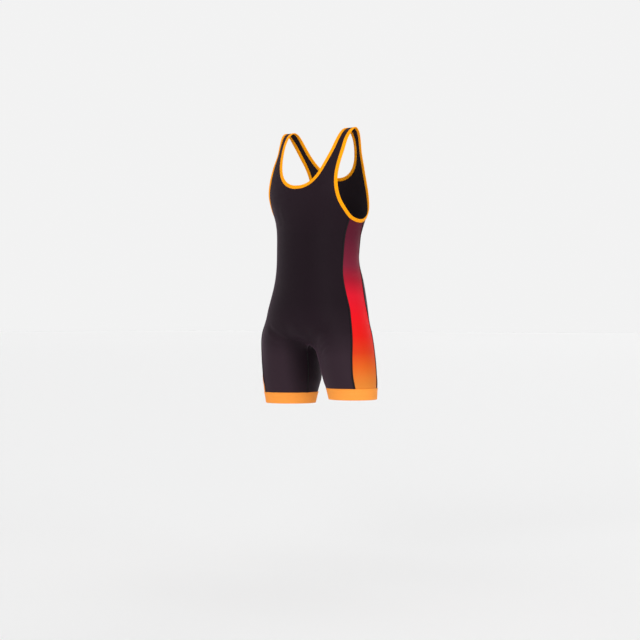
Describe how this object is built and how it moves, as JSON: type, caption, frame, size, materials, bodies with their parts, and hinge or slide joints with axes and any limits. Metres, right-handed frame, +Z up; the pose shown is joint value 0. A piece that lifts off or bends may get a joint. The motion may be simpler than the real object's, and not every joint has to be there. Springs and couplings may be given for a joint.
{
  "type": "wrestling singlet",
  "caption": "Sleeveless one-piece stretch sports garment in its worn hollow form: low neck, deep armholes, coloured side panels, mid-thigh legs with elastic hems.",
  "frame": {"origin": "the middle between the insides of the two strap tops, where the shoulders of whoever wears it hold it up", "axes": "+Z up the garment, +X towards the wearer's left, -Y towards the front"},
  "size_m": [0.4483, 0.2568, 0.9178],
  "materials": {
    "body_knit": "smooth stretch knit, soft sheen",
    "side_knit": "smooth stretch knit dyed in a fade from plum over red to orange",
    "binding": "folded stretch binding",
    "hem_elastic": "ribbed elastic",
    "piping": "matt flat tape"
  },
  "bodies": {
    "root": {"front_panel": "body_knit", "back_panel": "body_knit", "side_panel_left": "side_knit", "side_panel_right": "side_knit", "neck_binding": "binding", "armhole_binding_left": "binding", "armhole_binding_right": "binding", "hem_band_left": "hem_elastic", "hem_band_right": "hem_elastic", "piping_front_left": "piping", "piping_front_right": "piping", "piping_back_left": "piping", "piping_back_right": "piping"}
  },
  "joints": []
}
